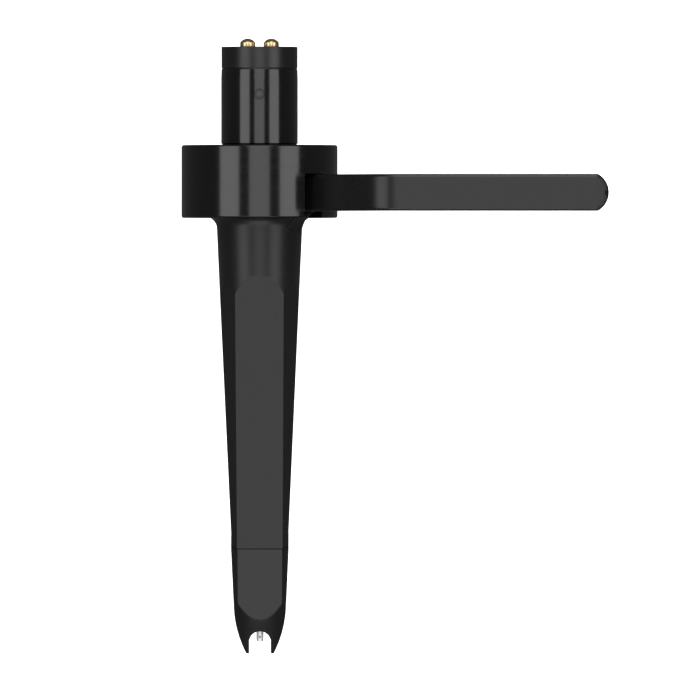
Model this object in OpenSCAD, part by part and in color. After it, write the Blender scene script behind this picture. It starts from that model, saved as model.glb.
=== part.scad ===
// Phono cartridge with an integral headshell, in millimetres. A bayonet plug and a
// turned collar carry a tapered body that slopes down to the record, with a finger
// lift at the collar and a forked stylus unit that pulls off the body's front end.
//
// Frame: the origin is the middle of the collar's shoulder face, on the plug's axis.
// +Y points out of the plug, +X towards the finger lift, and +Z up from the record.

/* [Plug] */
// Radius of the plug's barrel
plug_r = 4.0; // [3.95:0.01:4.02]
// Length of the barrel in front of the collar
plug_len = 7.9; // [7.8:0.05:8.2]
// Radius of the insulating cap at the plug's end
cap_r = 3.97; // [3.93:0.01:3.98]
// Length of the insulating cap
cap_len = 2.2; // [2:0.05:2.4]
// Distance between neighbouring contact pins
contact_pitch = 2.47; // [2.4:0.01:2.54]
// Radius of a contact pin's head
contact_r = 0.79; // [0.7:0.01:0.85]
// How far a contact pin stands out of the cap
contact_out = 0.85; // [0.6:0.05:1]
// Radius of the locating pin
locator_r = 0.55; // [0.5:0.01:0.6]
// Distance of the locating pin from the shoulder face
locator_y = 5.28; // [5:0.01:5.5]
// How far the locating pin stands out of the barrel
locator_out = 0.85; // [0.6:0.05:1]

/* [Collar] */
// Outer radius of the collar
collar_r = 8.15; // [7.9:0.05:8.3]
// Length of the collar
collar_len = 7.61; // [7.4:0.01:7.8]
// Width of the chamfer on the collar's rims
collar_edge = 0.15; // [0.1:0.01:0.25]

/* [Body] */
// Half the neck's width where it leaves the collar's fillet
neck_hw = 4.4; // [4.3:0.05:4.5]
// Narrowing of each side per millimetre of length
taper = 0.0455; // [0.044:0.0005:0.047]
// Fall of the body's top flat, in degrees
top_slope = 26; // [25.5:0.1:26.5]
// Fall of the body's underside, in degrees
belly_slope = 20.9; // [20.5:0.1:21.2]
// Half the width of the top flat at its collar end
flat_hw = 2.53; // [2.4:0.01:2.6]
// Tilt of the side chamfers, in degrees from level
chamfer_tilt = 57; // [54:1:60]
// Wall thickness of the body
wall = 0.7; // [0.6:0.05:0.75]

/* [Finger lift] */
// Width of the finger lift
lift_w = 3.84; // [3.7:0.01:3.86]
// Distance of the lift's tip from the plug's axis
lift_reach = 36.33; // [34:0.1:38]
// Height of the lift's level top above the plug's axis
lift_z = 13.8; // [13.8:0.05:14]
// Thickness of the lift
lift_t = 1.2; // [1.1:0.05:1.25]

/* [Stylus unit] */
// Fall of the stylus unit's axis, in degrees
unit_tilt = 22; // [21.5:0.1:22.5]
// Half the width of the fork's gap
fork_hw = 1.134; // [1.1:0.01:1.2]
// Outer radius of the cantilever tube
cantilever_r = 0.38; // [0.36:0.01:0.38]
// Level of the stylus point
stylus_z = -18.4; // [-18.6:0.05:-18.2]

/* [Hidden] */
$fn = 64;
big = 60;                      // longer than anything that a half-space has to cut
skin = 0.01;                   // how far a cutter runs past the face that it opens

// Plug and collar
groove_len = 0.15;             // the dark ring between barrel and cap
relief_len = 0.95;             // the barrel's slight cone at the cap
spigot_r = 3.6;                // bore of the collar, and the plug's spigot in it
spigot_len = 3.5;
stem_r = 3.2;                  // the insulator's stem, inside the barrel
stem_y = 4.5;
cap_y = plug_len + groove_len;
wire_bore_r = 2.6;
tail_r = 0.35;                 // a contact pin's tail, where its lead is soldered
tail_y = 4.3;
shank_r = 0.5;

// Finger lift
lift_y = -5;                   // middle of its width
lift_rise = 50;                // slope of its root, in degrees
bend_r = 4.8;                  // outside radius of its bend
bend_x = 14.6;                 // where the bend runs out into the level part
lift_end_r = 2.2;              // rounding of its tip, seen from above
bend_z = lift_z - bend_r;
root_x = 3.2;                  // the foot, in its pocket in the collar
foot_z = [2.3, 4.4];
foot_x = 5.2;
lift_screw = [4.0, 3.35];      // X and Z of the screw through the foot
lift_screw_r = 0.6;
notch_x = [4.7, 6.5];          // the collar's notch round the lift's root
notch_y = -3.0;
notch_floor = [1.5, -0.3];     // the floor slopes down away from the axis

// Body: outline and planes, each a line in Y
neck_y = -9.9;
flat_y = -13.54;               // where the top flat starts, on the ridge of the neck
flat_taper = 0.0058;
flat_ref_y = -16.2;            // where flat_hw is taken
belly_y = -9.5;
belly_z0 = -3.9;
belly_hw = 1.8;
belly_tilt = 45;
band_y = -40.2;                // the last stretch in front of the joint has straight sides
split_y = -42.2;               // the joint, on the top flat
fillet_r = 1.28;
fillet_h = 1.15;
cavity_y = -13;
function half_w(y) = neck_hw + taper * (y - neck_y);
function top_z(y) = half_w(flat_y) + tan(top_slope) * (y - flat_y);
function flat_edge(y) = flat_hw + flat_taper * (y - flat_ref_y);
function belly_z(y) = belly_z0 + tan(belly_slope) * (y - belly_y);

// The stylus unit's axis runs through the middle of the joint's face
section_h = (top_z(split_y) - belly_z(split_y))
          / (cos(unit_tilt) + tan(belly_slope) * sin(unit_tilt));
axis_y = split_y + sin(unit_tilt) * section_h / 2;
axis_z = top_z(split_y) - cos(unit_tilt) * section_h / 2;
joint_gap = 0.05;              // half the open line at the joint
function axis_point(s, x = 0, up = 0) =
    [x, axis_y - s * cos(unit_tilt) - up * sin(unit_tilt),
     axis_z - s * sin(unit_tilt) + up * cos(unit_tilt)];

// Stylus unit
tip_y = -53.2;                 // the fork's cut ends
underside_z = -17.3;
fork_y = -52.0;                // middle of the fork's round end
nose_y = -49.56;               // where the top flat ends on the nose
nose_fall = 42;
nose_r = 5.6;
side_arc_r = 11.5;             // the plan's arcs towards the fork
side_arc = [-8.753, -47.87];
sleeve_r = 1.2;
sleeve_bore_r = 0.9;
sleeve_s = [-5, 3.2];
channel_s = 6;                 // from here on the channel is open below
channel_up = 1.4;
throat_r = 0.95;
pivot_s = 2.5;                 // the suspension, where the cantilever turns
damper_len = 0.5;
core_r = [0.42, 0.6];
ring_bore_r = 0.64;
magnet_r = 0.5;
magnet_s = [-0.6, 2.1];
cantilever_s = [2.1, 11.66];
cantilever_bore_r = 0.27;
anchor_s = [-3.4, -2.8];
anchor_hole_r = 0.45;
tie_r = 0.07;
tie_s = -3.2;
stylus_s = 11.25;
stylus_r = 0.13;
stylus_cone = 0.4;

// Generator, along the same axis behind the joint
socket_s = [-5.3, -0.1];
socket_r = 1.23;               // 0.03 more than the sleeve that slides in it
pole_r = 0.4;
pole_at = 1.25;
pole_s = [-16.6, 2.2];
pole_room_r = 0.55;
coil_r = 1.0;
coil_s = [-15.6, -9.2];
yoke_s = [-16.4, -15.8];
yoke_half = 2.35;
can_s = [-16.4, -9];
can_half = 2.55;
can_t = 0.15;
board_s = [-17.6, -17.0];
board_half = 2.1;
terminal_at = 1.6;
terminal_r = 0.25;
terminal_s = [-19.2, -16.9];

// Underside cover, set flush in the belly, in the belly's own slope
cover_y = -27;
cover_half = [1.6, 7.5];
ledge_len = 1.6;
boss_top = 1.5;
cover_screw_r = 0.5;
cover_screw_y = 6.7;
cover_screw_head_r = 0.9;
cover_gap = 0.02;
boss_half = 1.9;

// Grub screw under the collar
grub_y = -5.6;
grub_r = 1.0;
grub_tail = 7.6;               // how far below the axis its socket end is

// Leads, from the terminals to the contact tails
lead_r = 0.2;
lead_sides = 8;
lead_rings = 26;
lead_blend = 9;                // length over which a lead moves into line with its pin
lead_sway = 0.15;

// Quarters of the plug and the generator. Left and right are the channels, as one
// faces the contacts with the locating pin up, so left is on the +X side
QUARTERS = [[1, 1], [1, -1], [-1, 1], [-1, -1]];
LEFT_SIGNAL = QUARTERS[0];
LEFT_GROUND = QUARTERS[1];
RIGHT_SIGNAL = QUARTERS[2];
RIGHT_GROUND = QUARTERS[3];

// ---- Ways of placing things ----

// A round bar or cone along +Y, from y0 to y1
module along_y(y0, y1, r0, r1 = -1) {
    translate([0, y0, 0]) rotate([-90, 0, 0])
        cylinder(h = y1 - y0, r1 = r0, r2 = r1 < 0 ? r0 : r1);
}

// A turned shape about the Y axis, from an outline of [radius, y] points
module turned(outline) {
    rotate([-90, 0, 0]) rotate_extrude($fn = 96) polygon(outline);
}

// Everything on the inner side of a plane through a point
module inside_plane(point, outward) {
    translate(point)
        rotate([0, acos(outward.z / norm(outward)), atan2(outward.y, outward.x)])
            translate([-big, -big, -2 * big]) cube(2 * big);
}

// The stylus unit's own frame: Z runs forward and down its axis, and Y up
module on_axis(s = 0) {
    translate([0, axis_y, axis_z]) rotate([90 + unit_tilt, 0, 0])
        translate([0, 0, s]) children();
}

// All space behind, or ahead of, a place on the unit's axis
module behind(s) { inside_plane(axis_point(s), [0, -cos(unit_tilt), -sin(unit_tilt)]); }
module ahead_of(s) { inside_plane(axis_point(s), [0, cos(unit_tilt), sin(unit_tilt)]); }

// The belly's own frame: Z points in through the wall
module on_belly(y) {
    translate([0, y, belly_z(y)]) rotate([belly_slope, 0, 0]) children();
}

// ---- Shapes that several pieces share ----

// What it is given, inside a plane through a point and moved in by inset. The
// plane falls by fall per millimetre along the body, leans by lean towards side,
// and faces up or down
module trimmed(point, fall, lean, side, up, inset) {
    n = [side * lean, -up * fall, up];
    intersection() {
        children();
        inside_plane(point - inset * n / norm(n), n);
    }
}

// What it is given, under the sloping top flat and its two side chamfers
module under_top_flats(inset = 0) {
    rise = tan(top_slope);
    steep = tan(chamfer_tilt);
    side_fall = rise + steep * flat_taper;
    z = top_z(flat_ref_y);
    trimmed([0, flat_ref_y, z], rise, 0, 1, 1, inset)
        trimmed([flat_hw, flat_ref_y, z], side_fall, steep, 1, 1, inset)
            trimmed([-flat_hw, flat_ref_y, z], side_fall, steep, -1, 1, inset)
                children();
}

// What it is given, above the sloping belly and its two chamfers
module above_belly(inset = 0) {
    fall = -tan(belly_slope);
    steep = tan(belly_tilt);
    trimmed([0, belly_y, belly_z0], -fall, 0, 1, -1, inset)
        trimmed([belly_hw, belly_y, belly_z0], -fall, steep, 1, -1, inset)
            trimmed([-belly_hw, belly_y, belly_z0], -fall, steep, -1, -1, inset)
                children();
}

// The body's form: a cone about the plug's axis under the top flats, and below the
// axis upright walls down to the belly
module body_form(y_back, inset = 0) {
    front = -48;
    back_hw = half_w(y_back) - inset;
    band_hw = half_w(band_y) - inset;
    under_top_flats(inset) {
        union() {
            along_y(front, y_back, half_w(front) - inset, back_hw);
            above_belly(inset) translate([0, 0, -big]) linear_extrude(big)
                polygon([[-half_w(belly_y) + inset, belly_y], [-band_hw, band_y],
                         [-band_hw, front], [band_hw, front], [band_hw, band_y],
                         [half_w(belly_y) - inset, belly_y]]);
        }
    }
}

// The stylus unit seen from above, closing in two arcs towards the fork
module unit_plan() {
    band_hw = half_w(band_y);
    end_hw = band_hw + taper * (tip_y - split_y);
    back = -38;
    intersection() {
        polygon([[-band_hw, back], [-band_hw, split_y], [-end_hw, tip_y],
                 [end_hw, tip_y], [band_hw, split_y], [band_hw, back]]);
        union() {
            translate([-big / 2, side_arc.y]) square(big);
            intersection_for (side = [-1, 1])
                translate([side * side_arc.x, side_arc.y]) circle(side_arc_r, $fn = 128);
        }
    }
}

// ---- Plug ----

// Thin turned tube with a spigot that sits in the collar
module plug_barrel() {
    color([0.16, 0.16, 0.17]) difference() {
        turned([[wire_bore_r, -spigot_len], [spigot_r, -spigot_len], [spigot_r, 0],
                [plug_r - groove_len, 0], [plug_r - groove_len, groove_len],
                [plug_r, groove_len], [plug_r, plug_len - relief_len],
                [cap_r, plug_len], [stem_r, plug_len], [stem_r, stem_y],
                [wire_bore_r, stem_y]]);
        translate([0, locator_y, 0]) cylinder(h = big, r = locator_r);
    }
}

// Moulded insulator: a cap over the barrel's end and a stem inside it, with a hole
// for each contact pin
module contact_insulator() {
    color([0.1, 0.1, 0.1]) difference() {
        turned([[0, stem_y], [stem_r, stem_y], [stem_r, plug_len],
                [plug_r - 2 * groove_len, plug_len], [plug_r - 2 * groove_len, cap_y],
                [cap_r, cap_y], [cap_r, cap_y + cap_len], [0, cap_y + cap_len]]);
        for (q = QUARTERS) at_contact(q) along_y(0, big, shank_r);
    }
}

module at_contact(q) { translate([q.x, 0, q.y] * contact_pitch / 2) children(); }

// Gold-plated pin: a domed head on a shank, and a tail for the lead
module contact_pin(q) {
    cap_top = cap_y + cap_len;
    head_band = contact_out / 2;
    dome = contact_out - head_band;
    dome_r = (contact_r * contact_r + dome * dome) / (2 * dome);
    color([0.85, 0.68, 0.35]) at_contact(q) {
        along_y(tail_y, stem_y, tail_r);
        along_y(stem_y, cap_top, shank_r);
        along_y(cap_top, cap_top + head_band, contact_r);
        intersection() {
            translate([0, cap_top + contact_out - dome_r, 0]) sphere(dome_r);
            along_y(cap_top + head_band, cap_top + contact_out, contact_r);
        }
    }
}

// Steel pin that finds the bayonet's slot, pressed into the top of the barrel
module locating_pin() {
    rim = 0.12;
    top = plug_r + locator_out;
    color([0.2, 0.2, 0.2]) translate([0, locator_y, 0]) {
        translate([0, 0, stem_r]) cylinder(h = top - rim - stem_r, r = locator_r);
        translate([0, 0, top - rim]) cylinder(h = rim, r1 = locator_r, r2 = locator_r - rim);
    }
}

// ---- Collar ----

// Turned ring with a notch and a pocket for the finger lift's root
module collar_ring() {
    e = collar_edge;
    color([0.13, 0.13, 0.14]) difference() {
        turned([[spigot_r, -collar_len], [collar_r - e, -collar_len],
                [collar_r, e - collar_len], [collar_r, -e], [collar_r - e, 0],
                [plug_r + groove_len, 0], [plug_r + groove_len, -groove_len],
                [spigot_r, -groove_len]]);
        translate([0, notch_y, 0]) rotate([90, 0, 0]) linear_extrude(big)
            polygon([[notch_x[0], notch_floor[0]], [notch_x[1], notch_floor[1]],
                     [notch_x[1], big], [notch_x[0], big]]);
        translate([root_x, lift_y - lift_w / 2, foot_z[0]])
            cube([notch_x[0] - root_x + skin, lift_w, foot_z[1] - foot_z[0]]);
        translate([lift_screw.x, 0, lift_screw.y])
            along_y(-collar_len - skin, lift_y, lift_screw_r);
        translate([0, grub_y, -big]) cylinder(h = big, r = grub_r);
    }
}

// Socket-head grub screw that clamps the body's spigot in the collar, from below
module collar_grub_screw() {
    color([0.3, 0.3, 0.3]) translate([0, grub_y, -grub_tail]) difference() {
        cylinder(h = grub_tail - spigot_r, r = grub_r);
        translate([0, 0, -skin]) cylinder(h = grub_r, r = grub_r / 2, $fn = 6);
    }
}

// ---- Body ----

// Concave fillet where the neck meets the collar
module neck_fillet() {
    r = fillet_r;
    y = -collar_len;
    hw = half_w(y - fillet_h);
    rotate([-90, 0, 0]) rotate_extrude($fn = 96) difference() {
        translate([wire_bore_r, y - fillet_h]) square([hw + r - wire_bore_r, fillet_h]);
        translate([hw + r, y - fillet_h]) circle(r);
    }
}

// Rib that runs from the neck's flank into the collar's notch, under the lift's root
module lift_rib() {
    rib_x = [3.3, 6.5];
    rib_y = [-10.5, -6.0];
    sweep_r = 2.9;
    top_at = [0, -6.95, 4.5];
    difference() {
        intersection() {
            translate([0, 0, notch_floor[0]]) linear_extrude(4) difference() {
                translate([rib_x[0], rib_y[0]])
                    square([rib_x[1] - rib_x[0], rib_y[1] - rib_y[0]]);
                translate([neck_hw + sweep_r, -9.35]) circle(sweep_r);
                translate([0, -collar_len]) square([notch_x[0], collar_len]);
            }
            inside_plane(top_at, [0, -0.5, 1]);
        }
        lift_space();
    }
}

// Room for the lift's steep root, in the body's rib
module lift_space() {
    translate([foot_x - big, notch_y - lift_w - 2 * skin, foot_z[0] - skin])
        cube([big, lift_w + 2 * skin, big]);
    translate([0, lift_y - lift_w / 2 - skin, 0]) rotate([90, 0, 0]) mirror([0, 0, 1])
        linear_extrude(lift_w + 2 * skin) lift_root(skin);
}

// Box in the belly's slope, for the cover, its opening and the bosses
module belly_block(half_x, half_y, z0, z1) {
    translate([-half_x, -half_y, z0]) cube([2 * half_x, 2 * half_y, z1 - z0]);
}

// Tapered one-piece shell: a round neck with its spigot, then a faceted, hollow bar
// with an opening in its belly
module body_shell() {
    open_half = [cover_half.x + cover_gap, cover_half.y + cover_gap];
    color([0.2, 0.2, 0.21]) difference() {
        union() {
            difference() {
                union() {
                    body_form(-collar_len);
                    along_y(-collar_len - skin, -spigot_len - groove_len, spigot_r);
                    neck_fillet();
                    lift_rib();
                }
                intersection() {
                    body_form(cavity_y, wall);
                    translate([-big, cavity_y - 2 * big, -big]) cube(2 * big);
                }
                along_y(cavity_y - 1, 0, wire_bore_r);
                on_belly(cover_y)
                    belly_block(open_half.x, open_half.y - ledge_len, -1, wall + 1);
            }
            for (end = [-1, 1]) on_belly(cover_y)
                translate([0, end * (open_half.y - ledge_len / 2), 0])
                    belly_block(boss_half, ledge_len / 2, wall / 2, boss_top);
        }
        on_belly(cover_y) {
            belly_block(open_half.x, open_half.y, -1, wall);
            for (end = [-1, 1]) translate([0, end * cover_screw_y, 0])
                cylinder(h = boss_top + 1, r = cover_screw_r);
        }
        ahead_of(-joint_gap);
        translate([0, grub_y, -spigot_r - skin]) cylinder(h = 0.3, r = grub_r);
    }
}

// Plate that closes the opening in the belly
module belly_cover() {
    color([0.18, 0.18, 0.19]) on_belly(cover_y) difference() {
        belly_block(cover_half.x, cover_half.y, 0, wall);
        for (end = [-1, 1]) translate([0, end * cover_screw_y, 0]) {
            cylinder(h = big, r = cover_screw_r);
            countersink(skin);
        }
    }
}

// The screws' conical head, or the cutter for it, which starts below the face
module countersink(below = 0) {
    translate([0, 0, -below])
        cylinder(h = cover_screw_head_r - cover_screw_r + below,
                 r1 = cover_screw_head_r + below, r2 = cover_screw_r);
}

// Two countersunk screws that hold the cover
module belly_cover_screws() {
    slot = 0.2;
    color([0.3, 0.3, 0.3]) on_belly(cover_y)
        for (end = [-1, 1]) translate([0, end * cover_screw_y, 0]) difference() {
            union() {
                cylinder(h = boss_top, r = cover_screw_r);
                countersink();
            }
            translate([-big / 2, -slot / 2, -slot]) cube([big, slot, 2 * slot]);
        }
}

// ---- Finger lift ----

// Side view of the lift's steep root, from its foot to where the bend starts
module lift_root(margin = 0) {
    translate([bend_x, bend_z]) rotate(lift_rise)
        translate([-big / 4, bend_r - lift_t - margin])
            square([big / 4, lift_t + 2 * margin]);
}

// Bent strip that rises steeply from a foot in the collar and levels out
module finger_lift() {
    reach = lift_reach - lift_end_r;
    color([0.25, 0.25, 0.26]) difference() {
        intersection() {
            translate([0, lift_y + lift_w / 2, 0]) rotate([90, 0, 0]) linear_extrude(lift_w) {
                translate([root_x, foot_z[0]]) square([foot_x - root_x, foot_z[1] - foot_z[0]]);
                intersection() {
                    lift_root();
                    translate([notch_x[0], foot_z[0]]) square(big);
                }
                intersection() {
                    translate([bend_x, bend_z]) difference() {
                        circle(bend_r, $fn = 96);
                        circle(bend_r - lift_t, $fn = 96);
                    }
                    translate([bend_x, bend_z]) rotate(lift_rise) translate([-skin, 0])
                        square([big, big]);
                    translate([bend_x - big, bend_z]) square(big);
                }
                translate([bend_x - skin, lift_z - lift_t])
                    square([lift_reach - bend_x + skin, lift_t]);
            }
            translate([0, lift_y, 0]) linear_extrude(big) union() {
                translate([0, -big / 2]) square([reach, big]);
                translate([reach, 0]) circle(lift_end_r, $fn = 96);
            }
        }
        translate([lift_screw.x, 0, lift_screw.y])
            along_y(-collar_len, lift_y, lift_screw_r);
    }
}

// Headless screw through the collar's back into the lift's foot
module finger_lift_screw() {
    color([0.3, 0.3, 0.3]) translate([lift_screw.x, 0, lift_screw.y])
        along_y(-collar_len + groove_len, lift_y, lift_screw_r);
}

// ---- Generator ----

// Moulded block that fills the body's front end and guides the stylus unit's sleeve
module stylus_socket() {
    color([0.12, 0.12, 0.12]) difference() {
        body_form(cavity_y, wall + cover_gap);
        behind(socket_s[0]);
        ahead_of(socket_s[1]);
        on_axis(-big) cylinder(h = 2 * big, r = socket_r);
        for (q = QUARTERS) on_pole(q, -big, big, pole_r);
    }
}

// A round bar along the unit's axis, at one of the four poles
module on_pole(q, s0, s1, r) {
    on_axis(s0) translate([q.x, q.y, 0] * pole_at) cylinder(h = s1 - s0, r = r);
}

// Four soft-iron pins that carry the magnet's field back through the coils
module pole_pins() {
    color([0.6, 0.6, 0.62]) for (q = QUARTERS) on_pole(q, pole_s[0], pole_s[1], pole_r);
}

// Copper coil on one pole pin
module coil(q) {
    color([0.72, 0.4, 0.2]) difference() {
        on_pole(q, coil_s[0], coil_s[1], coil_r);
        on_pole(q, coil_s[0] - 1, coil_s[1] + 1, pole_r);
    }
}

// Soft-iron plate that joins the poles behind the coils
module yoke_plate() {
    color([0.6, 0.6, 0.62]) difference() {
        square_bar(yoke_s[0], yoke_s[1], yoke_half, wall + 2 * cover_gap + can_t);
        for (q = QUARTERS) on_pole(q, yoke_s[0] - 1, yoke_s[1] + 1, pole_r);
    }
}

// A square bar along the unit's axis, its corners trimmed to the cavity
module square_bar(s0, s1, half, inset) {
    intersection() {
        on_axis(s0) translate([-half, -half, 0]) cube([2 * half, 2 * half, s1 - s0]);
        body_form(cavity_y, inset);
    }
}

// Thin can that screens the coils from hum
module shield_can() {
    inset = wall + cover_gap;
    color([0.7, 0.7, 0.72]) difference() {
        square_bar(can_s[0], can_s[1], can_half, inset);
        square_bar(can_s[0] - 1, can_s[1] + 1, can_half - can_t, inset + can_t);
    }
}

// Small circuit board behind the yoke, where coils and leads meet
module terminal_board() {
    color([0.1, 0.35, 0.2]) difference() {
        square_bar(board_s[0], board_s[1], board_half, wall + cover_gap);
        for (q = QUARTERS) terminal(q, board_s[0] - 1, board_s[1] + 1);
    }
}

module terminal(q, s0, s1) {
    on_axis(s0) translate([q.x, q.y, 0] * terminal_at) cylinder(h = s1 - s0, r = terminal_r);
}

// Four pins through the board
module terminal_pins() {
    color([0.8, 0.8, 0.8]) for (q = QUARTERS) terminal(q, terminal_s[0], terminal_s[1]);
}

// Insulated lead from a terminal pin to a contact pin's tail. It runs along Y, and
// moves into line with its pin by a smooth step, with a little slack in it
module lead(q, tint) {
    start = axis_point(terminal_s[0], q.x * terminal_at, q.y * terminal_at);
    goal = [q.x, 0, q.y] * contact_pitch / 2;
    span = tail_y - start.y;
    rings = [for (i = [0:lead_rings])
        let (run = span * i / lead_rings,
             u = min(1, run / lead_blend),
             w = u * u * (3 - 2 * u),
             sway = lead_sway * sin(360 * i / lead_rings) * q.x,
             mid = start + (goal - start) * w + [sway, 0, sway * q.y])
        for (k = [0:lead_sides - 1])
            let (a = 360 * k / lead_sides)
            [mid.x + lead_r * cos(a), start.y + run, mid.z + lead_r * sin(a)]];
    n = lead_sides;
    sides = [for (i = [0:lead_rings - 1]) for (k = [0:n - 1])
        [i * n + k, i * n + (k + 1) % n, (i + 1) * n + (k + 1) % n, (i + 1) * n + k]];
    color(tint) polyhedron(rings, concat([[for (k = [n - 1:-1:0]) k]], sides,
                           [[for (k = [0:n - 1]) lead_rings * n + k]]));
}

// ---- Stylus unit ----

// Moulded holder that carries the body's lines on to a forked nose
module stylus_holder() {
    fall_n = [0, -sin(nose_fall), cos(nose_fall)];
    apex = [0, nose_y, top_z(nose_y)];
    color([0.2, 0.2, 0.21]) difference() {
        intersection() {
            under_top_flats() above_belly()
                translate([0, 0, underside_z]) linear_extrude(big) unit_plan();
            translate(apex - nose_r * fall_n) rotate([90 + nose_fall, 0, 0])
                translate([0, 0, -big]) cylinder(h = 2 * big, r = nose_r, $fn = 128);
            ahead_of(joint_gap);
        }
        on_axis(-1) cylinder(h = 1 + sleeve_s[1], r = sleeve_r);
        on_axis(0) cylinder(h = channel_s + 1, r = throat_r);
        for (q = QUARTERS) on_pole(q, -1, pole_s[1] + 2 * joint_gap, pole_room_r);
        channel();
        translate([0, fork_y, -big]) cylinder(h = big, r = fork_hw);
        translate([-fork_hw, fork_y - big, -big]) cube([2 * fork_hw, big, big]);
    }
}

// Channel that the cantilever swings in, open below and at the front
module channel() {
    on_axis(channel_s) translate([-fork_hw, -big, 0])
        cube([2 * fork_hw, big + channel_up, big]);
}

// Brass sleeve that slides into the body's socket
module stylus_sleeve() {
    color([0.78, 0.62, 0.3]) difference() {
        on_axis(sleeve_s[0]) cylinder(h = sleeve_s[1] - sleeve_s[0], r = sleeve_r);
        on_axis(sleeve_s[0] - 1) cylinder(h = big, r = sleeve_bore_r);
    }
}

module disc(s0, s1, outer, inner) {
    difference() {
        on_axis(s0) cylinder(h = s1 - s0, r = outer);
        on_axis(s0 - 1) cylinder(h = s1 - s0 + 2, r = inner);
    }
}

// Brass ring in the sleeve's tail, where the tie wire is anchored
module wire_anchor() {
    color([0.7, 0.55, 0.3]) disc(anchor_s[0], anchor_s[1], sleeve_bore_r, anchor_hole_r);
}

// Outer part of the rubber suspension, fixed in the sleeve
module damper_ring() {
    half = damper_len / 2;
    color([0.08, 0.08, 0.08]) disc(pivot_s - half, pivot_s + half, sleeve_bore_r, ring_bore_r);
}

// Inner part of the rubber suspension, which twists sideways in the ring
module damper_core() {
    half = damper_len / 2;
    color([0.15, 0.15, 0.15]) disc(pivot_s - half, pivot_s + half, core_r[1], core_r[0]);
}

// Rod magnet on the cantilever's inner end
module magnet() {
    color([0.55, 0.55, 0.58]) disc(magnet_s[0], magnet_s[1], magnet_r, tie_r);
}

// Fine wire that holds the cantilever back against its suspension
module tie_wire() {
    color([0.75, 0.75, 0.75]) on_axis(tie_s) cylinder(h = magnet_s[1] - tie_s, r = tie_r);
}

// Thin aluminium tube that carries the stylus
module cantilever() {
    color([0.85, 0.85, 0.86]) difference() {
        on_axis(cantilever_s[0]) cylinder(h = cantilever_s[1] - cantilever_s[0], r = cantilever_r);
        on_axis(pivot_s + damper_len) cylinder(h = big, r = cantilever_bore_r);
        stylus_shank(axis_z - stylus_s * sin(unit_tilt) - 1);
    }
}

module stylus_shank(low) {
    at = axis_point(stylus_s);
    translate([at.x, at.y, low]) cylinder(h = at.z + cantilever_r + 0.1 - low, r = stylus_r);
}

// Diamond: a fine rod through the tube, ground to a cone
module stylus_tip() {
    at = axis_point(stylus_s);
    color([0.7, 0.75, 0.8]) {
        stylus_shank(stylus_z + stylus_cone);
        translate([at.x, at.y, stylus_z])
            cylinder(h = stylus_cone, r1 = stylus_r / 6, r2 = stylus_r);
    }
}

plug_barrel();
contact_insulator();
contact_pin(LEFT_SIGNAL);  // contact_pin_left_signal
contact_pin(LEFT_GROUND);  // contact_pin_left_ground
contact_pin(RIGHT_SIGNAL);  // contact_pin_right_signal
contact_pin(RIGHT_GROUND);  // contact_pin_right_ground
locating_pin();
collar_ring();
collar_grub_screw();
body_shell();
belly_cover();
belly_cover_screws();
finger_lift();
finger_lift_screw();
stylus_socket();
pole_pins();
coil(LEFT_SIGNAL);  // coil_left_upper
coil(LEFT_GROUND);  // coil_left_lower
coil(RIGHT_SIGNAL);  // coil_right_upper
coil(RIGHT_GROUND);  // coil_right_lower
yoke_plate();
shield_can();
terminal_board();
terminal_pins();
lead(LEFT_SIGNAL, [0.9, 0.9, 0.9]);  // lead_left_signal
lead(LEFT_GROUND, [0.15, 0.3, 0.75]);  // lead_left_ground
lead(RIGHT_SIGNAL, [0.8, 0.1, 0.1]);  // lead_right_signal
lead(RIGHT_GROUND, [0.1, 0.55, 0.2]);  // lead_right_ground
stylus_holder();
stylus_sleeve();
wire_anchor();
damper_ring();
damper_core();
magnet();
tie_wire();
cantilever();
stylus_tip();
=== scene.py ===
"""Looks of a turntable's phono cartridge with an integral headshell.

Lengths are in millimetres until a mesh is made, and metres in Blender. +Y runs out of
the plug's contacts, +X towards the finger lift, and +Z up from the record.
"""
import math

import bmesh
import bpy
import numpy as np
from mathutils import Matrix, Vector


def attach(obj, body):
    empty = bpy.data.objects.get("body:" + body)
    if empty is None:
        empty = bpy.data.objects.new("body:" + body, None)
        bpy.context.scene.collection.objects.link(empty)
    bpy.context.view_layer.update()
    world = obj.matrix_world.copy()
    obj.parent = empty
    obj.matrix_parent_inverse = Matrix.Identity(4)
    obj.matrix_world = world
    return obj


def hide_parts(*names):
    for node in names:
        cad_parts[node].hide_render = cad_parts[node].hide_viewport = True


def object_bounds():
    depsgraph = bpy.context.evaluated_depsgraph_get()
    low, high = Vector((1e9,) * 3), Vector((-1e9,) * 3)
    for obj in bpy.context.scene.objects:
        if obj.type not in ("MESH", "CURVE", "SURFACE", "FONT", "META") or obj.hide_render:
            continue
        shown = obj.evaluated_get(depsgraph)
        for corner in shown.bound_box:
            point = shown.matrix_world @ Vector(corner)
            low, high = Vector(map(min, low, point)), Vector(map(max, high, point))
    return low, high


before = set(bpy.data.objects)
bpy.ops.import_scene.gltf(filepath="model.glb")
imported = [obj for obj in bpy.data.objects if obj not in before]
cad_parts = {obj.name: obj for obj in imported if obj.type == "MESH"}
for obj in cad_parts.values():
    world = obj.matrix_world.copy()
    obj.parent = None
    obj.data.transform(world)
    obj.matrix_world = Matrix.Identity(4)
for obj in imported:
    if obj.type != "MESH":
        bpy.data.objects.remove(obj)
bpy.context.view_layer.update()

MM = 0.001

# ---- View, floor and light ----
# A long lens looks straight down on the cartridge, as it lies on a tonearm. The floor is
# a plain pale sheet below the stylus. Three long softboxes run along the plug's axis, one
# overhead and one on either side, with a smaller one at the front and one at the back.

VIEW_MIDDLE = Vector((9.44, -21.38, 0)) * MM
VIEW_WIDTH = 73.02 * MM
LENS = 540
SENSOR = 12
FLOOR_DROP = 30 * MM

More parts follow.
